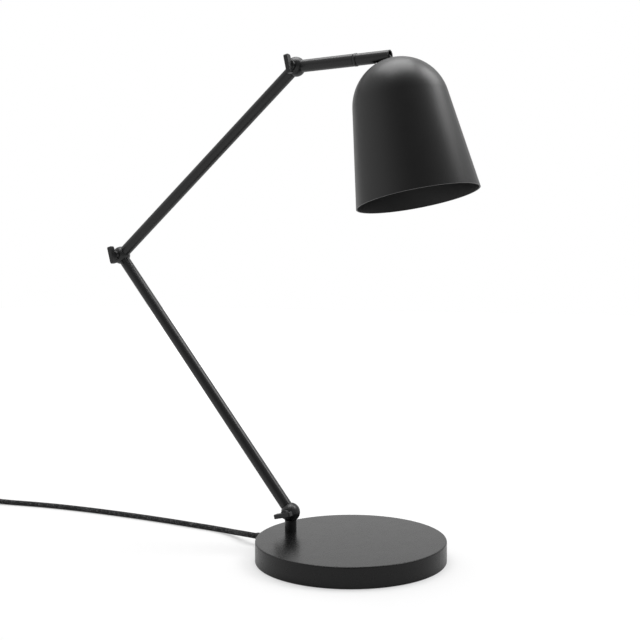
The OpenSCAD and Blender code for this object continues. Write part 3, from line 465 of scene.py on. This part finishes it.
def make_face_filter():
    """A modifier group that drops the faces without area that a mesh was imported with."""
    group = bpy.data.node_groups.new("drop_empty_faces", "GeometryNodeTree")
    for way in ("INPUT", "OUTPUT"):
        group.interface.new_socket("Geometry", in_out=way, socket_type="NodeSocketGeometry")
    before, after = group.nodes.new("NodeGroupInput"), group.nodes.new("NodeGroupOutput")
    area = group.nodes.new("GeometryNodeInputMeshFaceArea")
    empty = group.nodes.new("FunctionNodeCompare")
    empty.data_type = "FLOAT"
    empty.operation = "LESS_THAN"
    empty.inputs["B"].default_value = EMPTY_AREA
    drop = group.nodes.new("GeometryNodeDeleteGeometry")
    drop.domain = "FACE"
    group.links.new(area.outputs["Area"], empty.inputs["A"])
    group.links.new(before.outputs[0], drop.inputs["Geometry"])
    group.links.new(empty.outputs["Result"], drop.inputs["Selection"])
    group.links.new(drop.outputs["Geometry"], after.inputs[0])
    return group


def join_points(obj):
    """Merge points that coincide."""
    weld = obj.modifiers.new("weld", "WELD")
    weld.merge_threshold = WELD_WITHIN


def round_edges(obj, width, segments):
    """Join the faces that lie in one plane, then round the edges between the others."""
    join_points(obj)
    flat = obj.modifiers.new("flat", "DECIMATE")
    flat.decimate_type = "DISSOLVE"
    flat.angle_limit = FLAT_WITHIN
    bevel = obj.modifiers.new("bevel", "BEVEL")
    bevel.width = width * MM
    bevel.segments = segments
    bevel.limit_method = "ANGLE"
    bevel.angle_limit = BEVEL_FROM
    bevel.harden_normals = True


def soften(obj):
    """The soft edges of a casting: an even mesh over the node, smoothed a little."""
    join_points(obj)
    even = obj.modifiers.new("even", "REMESH")
    even.mode = "VOXEL"
    even.voxel_size = CASTING_GRID
    even.use_smooth_shade = True
    soft = obj.modifiers.new("soft", "SMOOTH")
    soft.factor = 0.5
    soft.iterations = CASTING_ROUNDS


face_filter = make_face_filter()
for name in SHELLS:
    nodes[name].modifiers.new("drop", "NODES").node_group = face_filter
for name in CASTINGS:
    soften(nodes[name])
for names, width, segments in BEVELS:
    for name in names:
        round_edges(nodes[name], width, segments)

# ---------------------------------------------------------------- materials

# The values that most of a noise lies between
NOISE_BAND = (0.3, 0.7)
GREY_BLUE = 1.03
# Powder coats: tone, roughness, size and relief of the grain, specular level
COATS = {
    "black_coat_base": (0.004, 0.27, 0.0006, 0.4e-5, 0.34),
    "black_coat_tube": (0.011, 0.29, 0.0005, 0.35e-5, 0.5),
    "black_coat_shade": (0.005, 0.38, 0.0006, 0.7e-5, 0.5),
    "black_coat_knuckle": (0.014, 0.33, 0.0005, 0.5e-5, 0.5),
    "black_coat_key": (0.012, 0.36, 0.0006, 0.8e-5, 0.5),
}
COAT_MOTTLE_SIZE = 0.03
COAT_MOTTLE_SPREAD = 0.07
# Pale specks: size as a share of the grain's, tone against the coat's, how much of it shows
COAT_SPECK_SIZE = 0.6
COAT_SPECK_BAND = (0.45, 0.75)
COAT_SPECK_TONE = 1.5
COAT_SPECK_AMOUNT = 0.5
COAT_SHEEN_SIZE = 0.012
COAT_SHEEN_SPREAD = 0.014
COAT_BUMP = 0.6
# Other surfaces: colour or grey tone, roughness, metallic, size of the patches, relief
PLAIN_SIZE = 0.004
PLAIN_RELIEF = 2e-5
PLAIN_SPREAD = 0.12
PLAIN_ROUGH_SPREAD = 0.15
PLAIN_BUMP = 0.5
PLAINS = {
    "iron": (0.09, 0.75, 0.6, 0.003, 1e-4),
    "zinc_plate": (0.35, 0.4, 1, 0.02),
    "zinc": (0.55, 0.32, 1),
    "spindle_brass": ((0.6, 0.42, 0.17), 0.3, 1),
    "foot_rubber": (0.018, 0.9, 0, 0.002, 6e-5),
    "relief_rubber": (0.014, 0.6, 0, 0.002),
    "fibre": ((0.03, 0.027, 0.024), 0.9, 0, 0.001, 4e-5),
    "wire": ((0.16, 0.07, 0.03), 0.45),
    "cup_plastic": (0.03, 0.5),
    "holder_plastic": (0.02, 0.4),
    "bulb_metal": (0.7, 0.25, 1),
    "black_plastic": (0.012, 0.38, 0, 0.003, 1.5e-5),
    "rocker_plastic": (0.014, 0.3, 0, 0.003, 1e-5),
    "pin_nickel": ((0.72, 0.71, 0.68), 0.2, 1),
}
# The braid: yarns each way round, length of their turn, relief, tones of the yarn from valley to
# crest (painted shade in the valleys) and its flecks
BRAID_YARNS = 16
BRAID_PITCH = 0.0095
BRAID_RELIEF = 0.0003
BRAID_BUMP = 0.8
YARN_SHADED_TONES = (0.003, 0.026)
YARN_SHADE_BAND = (0.2, 1.2)
FIBRE_SIZE = 0.00025
FIBRE_RELIEF = 0.5
FLECK_TONE = 0.38
FLECK_STRENGTH = 0.85
FLECK_BAND = (0.57, 0.63)
# How fast a yarn's flecks change along the cord, and how far apart the yarns' patterns lie
FLECKS_PER_METRE = 420
YARN_APART = 5.3
HAND_APART = 17
# How sharply one set of yarns gives way to the other where they cross
CROSSING = 0.25
# The strap: fuzz and patches, their relief, tones
FUZZ_SIZE = 0.0004
FUZZ_BAND = (0.35, 0.7)
FUZZ_TONES = (0.008, 0.03)
FUZZ_RELIEF = 0.0002
STRAP_PATCH_SIZE = 0.004
STRAP_PATCH_RELIEF = 0.4
STRAP_BUMP = 0.8
GLASS_COLOUR = (0.93, 0.93, 0.91)
GLASS_ROUGHNESS = (0.3, 0.42)
GLASS_GRAIN = 0.0008
GLASS_RELIEF = 1e-5


class Tree:
    """A node tree, with short calls for the nodes that the materials and the world share."""

    def __init__(self, owner):
        owner.use_nodes = True
        self.nodes = owner.node_tree.nodes
        self.links = owner.node_tree.links

    def put(self, socket, value):
        """Link a socket to an output, or set it to a number, a direction or a colour."""
        if isinstance(value, bpy.types.NodeSocket):
            self.links.new(value, socket)
        elif isinstance(value, tuple):
            socket.default_value = (*value, 1)
        else:
            socket.default_value = value

    def add(self, kind, inputs, output=0, **settings):
        """A new node with its settings and inputs. Gives one of its outputs."""
        node = self.nodes.new(kind)
        for name, value in settings.items():
            setattr(node, name, value)
        for name, value in inputs.items():
            self.put(node.inputs[name], value)
        return node.outputs[output]

    def math(self, kind, *values):
        return self.add("ShaderNodeMath", dict(enumerate(values)), operation=kind)

    def ramp(self, value, low, high, to_low=0.0, to_high=1.0):
        return self.add("ShaderNodeMapRange", {
            "From Min": low, "From Max": high, "To Min": to_low, "To Max": to_high,
            "Value": value}, "Result")

    def rays(self):
        """Which kind of ray looks at the surface."""
        return self.nodes.new("ShaderNodeLightPath").outputs


class Surface(Tree):
    """A new material, with its shader and the object's own coordinates."""

    def __init__(self, name):
        self.material = bpy.data.materials.new(name)
        super().__init__(self.material)
        self.shader = self.nodes["Principled BSDF"]
        self.place = self.add("ShaderNodeTexCoord", {}, "Object")

    def noise(self, size, detail=2.0, vector=None):
        return self.add("ShaderNodeTexNoise", {
            "Scale": 1 / size, "Detail": detail, "Vector": vector or self.place}, "Fac")

    def mix(self, factor, a, b):
        return self.add("ShaderNodeMix", {"Factor": factor, "A": a, "B": b}, "Result",
                        data_type="RGBA")

    def bump(self, height, distance, strength):
        normal = self.add("ShaderNodeBump", {
            "Distance": distance, "Strength": strength, "Height": height}, "Normal")
        self.put(self.shader.inputs["Normal"], normal)

    def set(self, **values):
        """Set the shader's inputs by their names in small letters, and give the material."""
        for name, value in values.items():
            title = name.replace("_", " ").title().replace("Ior", "IOR")
            self.put(self.shader.inputs[title], value)
        return self.material


def grey(value):
    """A grey that leans a little to blue."""
    return (value, value, value * GREY_BLUE)


def black_coat(name, tone, rough, grain, relief, specular):
    """Matt black powder coat: fine grain, a little mottling and uneven sheen."""
    n = Surface(name)
    mottle = n.ramp(n.noise(COAT_MOTTLE_SIZE, detail=3), *NOISE_BAND)
    ground = n.mix(mottle, grey(tone * (1 - COAT_MOTTLE_SPREAD)),
                   grey(tone * (1 + COAT_MOTTLE_SPREAD)))
    speck = n.ramp(n.noise(grain * COAT_SPECK_SIZE, detail=1), *COAT_SPECK_BAND,
                   0, COAT_SPECK_AMOUNT)
    uneven = n.ramp(n.noise(COAT_SHEEN_SIZE, detail=4), *NOISE_BAND,
                    rough - COAT_SHEEN_SPREAD, rough + COAT_SHEEN_SPREAD)
    n.bump(n.noise(grain), relief, COAT_BUMP)
    return n.set(base_color=n.mix(speck, ground, grey(tone * COAT_SPECK_TONE)), roughness=uneven,
                 specular_ior_level=specular)


def plain(name, colour, rough, metallic=0, size=PLAIN_SIZE, relief=PLAIN_RELIEF):
    """A surface with slight variation of tone and sheen at a given scale."""
    n = Surface(name)
    colour = colour if isinstance(colour, tuple) else grey(colour)
    low = tuple(c * (1 - PLAIN_SPREAD) for c in colour)
    high = tuple(min(1, c * (1 + PLAIN_SPREAD)) for c in colour)
    tone = n.mix(n.ramp(n.noise(size, detail=4), *NOISE_BAND), low, high)
    uneven = n.ramp(n.noise(size / 2), *NOISE_BAND, rough * (1 - PLAIN_ROUGH_SPREAD),
                    min(1, rough * (1 + PLAIN_ROUGH_SPREAD)))
    n.bump(n.noise(size / 6), relief, PLAIN_BUMP)
    return n.set(base_color=tone, metallic=metallic, roughness=uneven)


def braid_cloth(name):
    """Braided textile: two sets of yarns crossing round the cord, parts of them pale flecks.
    Painted shade darkens the valleys between the yarns and fades the flecks there.
    """
    n = Surface(name)
    uv = n.add("ShaderNodeUVMap", {}, uv_map="along")
    along, turn = (n.add("ShaderNodeSeparateXYZ", {"Vector": uv}, axis) for axis in "XY")
    lay = n.math("DIVIDE", along, BRAID_PITCH)
    heights, flecks = [], []
    for hand in (1, -1):
        phase = n.math("MULTIPLY", n.math("ADD", n.math("MULTIPLY", turn, hand), lay), BRAID_YARNS)
        heights.append(n.ramp(n.math("SINE", n.math("MULTIPLY", phase, math.tau)), -1, 1))
        # A quarter on, so that a yarn's number changes in the valley beside it
        yarn = n.math("FLOOR", n.math("ADD", phase, 0.25))
        place = n.add("ShaderNodeCombineXYZ", {
            "X": n.math("MULTIPLY", yarn, YARN_APART),
            "Y": n.math("MULTIPLY", along, FLECKS_PER_METRE), "Z": HAND_APART * hand})
        flecks.append(n.ramp(n.noise(1, detail=1, vector=place), *FLECK_BAND))
    check = n.math("SINE", n.math("MULTIPLY", n.math("MULTIPLY", lay, BRAID_YARNS), math.pi))
    over = n.ramp(check, -CROSSING, CROSSING)
    under = n.math("SUBTRACT", 1, over)
    height, fleck = (
        n.math("ADD", n.math("MULTIPLY", pair[0], over), n.math("MULTIPLY", pair[1], under))
        for pair in (heights, flecks))
    fibre = n.noise(FIBRE_SIZE, detail=3)
    relief = n.math("ADD", height, n.math("MULTIPLY", fibre, FIBRE_RELIEF))
    n.bump(relief, BRAID_RELIEF, BRAID_BUMP)
    # Painted shade: the yarn is darker in the valleys between yarns, with random fibre tone on top,
    # and the pale flecks fade towards the valleys
    yarn_shaded = n.mix(n.ramp(relief, *YARN_SHADE_BAND), *map(grey, YARN_SHADED_TONES))
    fleck_shaded = n.math("MULTIPLY", n.math("MULTIPLY", fleck, height), FLECK_STRENGTH)
    return n.set(base_color=n.mix(fleck_shaded, yarn_shaded, grey(FLECK_TONE)), roughness=0.85,
                 sheen_weight=0.08, sheen_roughness=0.5, specular_ior_level=0.2)


def strap_cloth(name):
    """Napped cloth: soft fuzz with slow unevenness."""
    n = Surface(name)
    fuzz = n.noise(FUZZ_SIZE, detail=4)
    patch = n.math("MULTIPLY", n.noise(STRAP_PATCH_SIZE), STRAP_PATCH_RELIEF)
    n.bump(n.math("ADD", fuzz, patch), FUZZ_RELIEF, STRAP_BUMP)
    return n.set(base_color=n.mix(n.ramp(fuzz, *FUZZ_BAND), *map(grey, FUZZ_TONES)),
                 roughness=0.9, sheen_weight=0.4, sheen_roughness=0.4, specular_ior_level=0.2)


def frosted_glass(name):
    """White frosted glass that lets a little light through."""
    n = Surface(name)
    n.bump(n.noise(GLASS_GRAIN), GLASS_RELIEF, 0.4)
    rough = n.ramp(n.noise(0.006, detail=3), *NOISE_BAND, *GLASS_ROUGHNESS)
    return n.set(base_color=GLASS_COLOUR, roughness=rough, transmission_weight=0.3,
                 subsurface_weight=0.3, ior=1.45)


materials = {name: black_coat(name, *look) for name, look in COATS.items()}
materials.update({name: plain(name, *look) for name, look in PLAINS.items()})
for make, name in ((frosted_glass, "bulb_glass"), (braid_cloth, "braid"),
                   (strap_cloth, "strap_cloth")):
    materials[name] = make(name)

slot_of = {s["node"]: s["material_slot"] for s in frame["record"]["subparts"]}


def paint(obj, slot):
    obj.data.materials.clear()
    obj.data.materials.append(materials[slot])


for name, obj in nodes.items():
    paint(obj, slot_of[name])
for slot, pieces in (("braid", [cord]), ("relief_rubber", [relief, *bushes]),
                     ("black_plastic", [plug]), ("strap_cloth", [strap, strap_end])):
    for obj in pieces:
        paint(obj, slot)

# ---------------------------------------------------------------- floor, light and background

FLOOR_SIZE = 12
FLOOR_COLOUR = (0.5, 0.5, 0.5)
FLOOR_GLOW = 0.45
# Distances from the lamp between which the floor's glow grows to white
FLOOR_GLOW_REACH = (0.5, 2)
FLOOR_GLOW_IN_GLOSS = 0.35
# Light of the room by the turn in degrees from the camera's side, positive to the right
ROOM_LIGHT = [
    (-180, 0.85), (-150, 0.8), (-122, 0.65), (-95, 0.75), (-77, 0.75), (-60, 0.6), (-44, 0.4),
    (-29, 0.25), (0, 0.18), (29, 0.2), (44, 0.28), (52, 0.55), (63, 2.6), (84, 3.2), (106, 1.5),
    (126, 0.8), (150, 0.8), (180, 0.85),
]
ROOM_PEAK = 3.2
# The camera's direction and its right, in the plan
VIEW_PLAN = Vector((-math.sin(math.radians(CAMERA_TURN)), math.cos(math.radians(CAMERA_TURN)), 0))
RIGHT_PLAN = Vector((VIEW_PLAN.y, -VIEW_PLAN.x, 0))
LAMP_MIDDLE = Vector((-0.05, 0, 0.25))
SOFTBOX_AWAY = 1.6


def make_floor():
    """White floor that keeps the lamp's shadow; its glow grows outward and is dim in gloss."""
    half = FLOOR_SIZE / 2
    floor = new_object("floor", [(-half, -half, 0), (half, -half, 0), (half, half, 0),
                                 (-half, half, 0)], [(0, 1, 2, 3)], smooth=False)
    n = Surface("floor")
    away = n.add("ShaderNodeVectorMath", {0: n.place}, "Value", operation="LENGTH")
    rays = n.rays()
    seen = n.math("MULTIPLY_ADD", rays["Is Glossy Ray"], FLOOR_GLOW_IN_GLOSS,
                  rays["Is Camera Ray"])
    seen = n.math("MAXIMUM", seen, rays["Is Transmission Ray"])
    glow = n.math("MULTIPLY", seen, n.ramp(away, *FLOOR_GLOW_REACH, FLOOR_GLOW, 1))
    floor.data.materials.append(n.set(
        base_color=FLOOR_COLOUR, roughness=0.9, specular_ior_level=0.1,
        emission_color=(1, 1, 1), emission_strength=glow))


def make_world():
    """White for the camera; what the lamp reflects changes with the turn from the camera's side."""
    world = bpy.data.worlds.new("studio")
    scene.world = world
    n = Tree(world)
    place = n.add("ShaderNodeTexCoord", {}, "Generated")
    parts = [n.add("ShaderNodeVectorMath", {0: place, 1: direction}, "Value",
                   operation="DOT_PRODUCT") for direction in (RIGHT_PLAN, -VIEW_PLAN)]
    turn = n.ramp(n.math("ARCTAN2", *parts), -math.pi, math.pi)
    ramp = n.nodes.new("ShaderNodeValToRGB")
    n.put(ramp.inputs["Fac"], turn)
    stops = ramp.color_ramp.elements
    while len(stops) > 1:
        stops.remove(stops[-1])
    for k, (degrees, light) in enumerate(ROOM_LIGHT):
        stop = stops[0] if k == 0 else stops.new(0.5)
        stop.position = (degrees + 180) / 360
        stop.color = (*[light / ROOM_PEAK] * 3, 1)
    room = n.math("MULTIPLY", ramp.outputs["Color"], ROOM_PEAK)
    rays = n.rays()
    seen = n.math("MAXIMUM", rays["Is Camera Ray"], rays["Is Transmission Ray"])
    strength = n.add("ShaderNodeMix", {"Factor": seen, "A": room, "B": 1}, "Result",
                     data_type="FLOAT")
    background = n.nodes["Background"]
    n.put(background.inputs["Color"], (1, 1, 1))
    n.put(background.inputs["Strength"], strength)


def make_softbox(name, toward, size, radiance):
    """A square softbox seen from the lamp in a direction: right of, above and behind it."""
    right, above, behind = toward
    heading = (right * RIGHT_PLAN + behind * VIEW_PLAN + above * UP).normalized()
    data = bpy.data.lights.new(name, "AREA")
    data.shape = "SQUARE"
    data.size = size
    data.energy = radiance * math.pi * size * size
    light = bpy.data.objects.new(name, data)
    light.location = LAMP_MIDDLE + SOFTBOX_AWAY * heading
    light.rotation_euler = (-heading).to_track_quat("-Z", "Y").to_euler()
    light.visible_camera = False
    scene.collection.objects.link(light)


make_floor()
make_world()
make_softbox("softbox_high", (0.62, 0.75, 0.15), 0.8, 4.5)
make_softbox("softbox_top", (-0.03, 0.97, 0.1), 1.2, 4.1)
